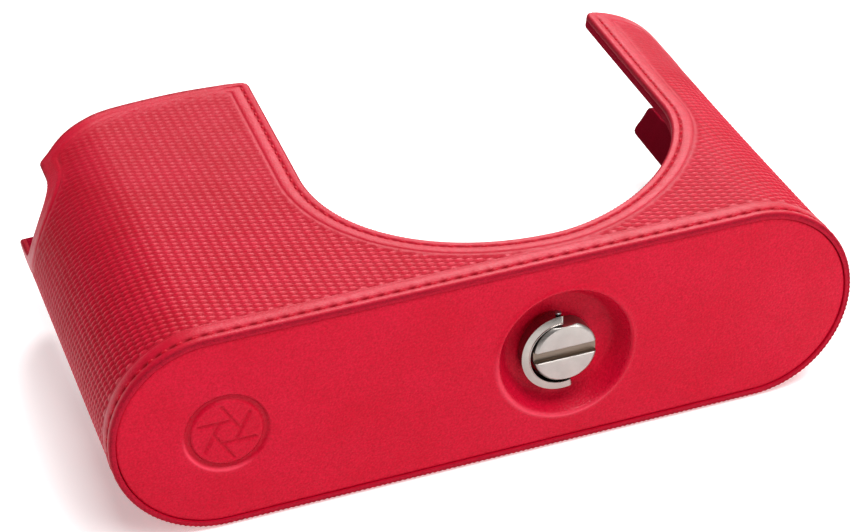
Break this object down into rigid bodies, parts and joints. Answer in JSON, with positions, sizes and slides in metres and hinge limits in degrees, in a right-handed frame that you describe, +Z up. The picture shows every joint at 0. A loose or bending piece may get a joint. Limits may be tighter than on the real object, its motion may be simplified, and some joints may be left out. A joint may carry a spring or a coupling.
{
  "type": "camera half case",
  "caption": "Leather half case for a compact camera: stitched wrap-round wall, wide lens opening, lug notches, padded base with captive tripod screw and folding bail.",
  "frame": {"origin": "bottom centre of the whole case as it lies on its back wall", "axes": "+X along the case to the side with the narrow arm, +Y from the base towards the open top, +Z up from the back wall to the front wall"},
  "size_m": [0.13, 0.085, 0.036],
  "materials": {
    "embossed_leather": "bright red calf leather, embossed with short staggered pillows in rows",
    "smooth_leather": "bright red smooth fine-grained leather",
    "lining": "dark red napped microfibre",
    "fibreboard": "matt pressed fibreboard",
    "pad": "matt felt",
    "plate_steel": "plain zinc-plated steel",
    "thread": "red waxed polyester sewing thread",
    "eyelet_brass": "satin brass",
    "nylon": "black nylon",
    "satin_nickel": "satin nickel plate with turned grain",
    "polished_nickel": "bright nickel plate"
  },
  "bodies": {
    "case": {"wall_leather": "embossed_leather", "wall_lining": "lining", "front_stiffener": "fibreboard", "back_stiffener": "fibreboard", "base_leather": "smooth_leather", "base_board": "fibreboard", "base_pad": "pad", "base_lining": "lining", "screw_plate": "plate_steel", "plate_rivet_left": "plate_steel", "plate_rivet_right": "plate_steel", "base_seam_thread": "thread", "lens_edge_thread": "thread", "back_edge_thread": "thread", "screw_eyelet": "eyelet_brass"},
    "screw_carrier": {"screw_washer": "nylon"},
    "screw": {"tripod_screw": "satin_nickel", "bail_pin_front": "satin_nickel", "bail_pin_back": "satin_nickel"},
    "bail": {"screw_bail": "polished_nickel"}
  },
  "joints": [
    {"name": "screw_travel", "type": "slide", "parent": "case", "child": "screw_carrier", "axis": [0, -1, 0], "range_m": [0, 0.002]},
    {"name": "screw_spin", "type": "hinge", "parent": "screw_carrier", "child": "screw", "pos_m": [0.0126, -0.04085, 0.0178], "axis": [0, 1, 0], "continuous": true},
    {"name": "bail_flip", "type": "hinge", "parent": "screw", "child": "bail", "pos_m": [0.0119, -0.04085, 0.0178], "axis": [0, 0, 1], "range_deg": [0, 100]}
  ]
}
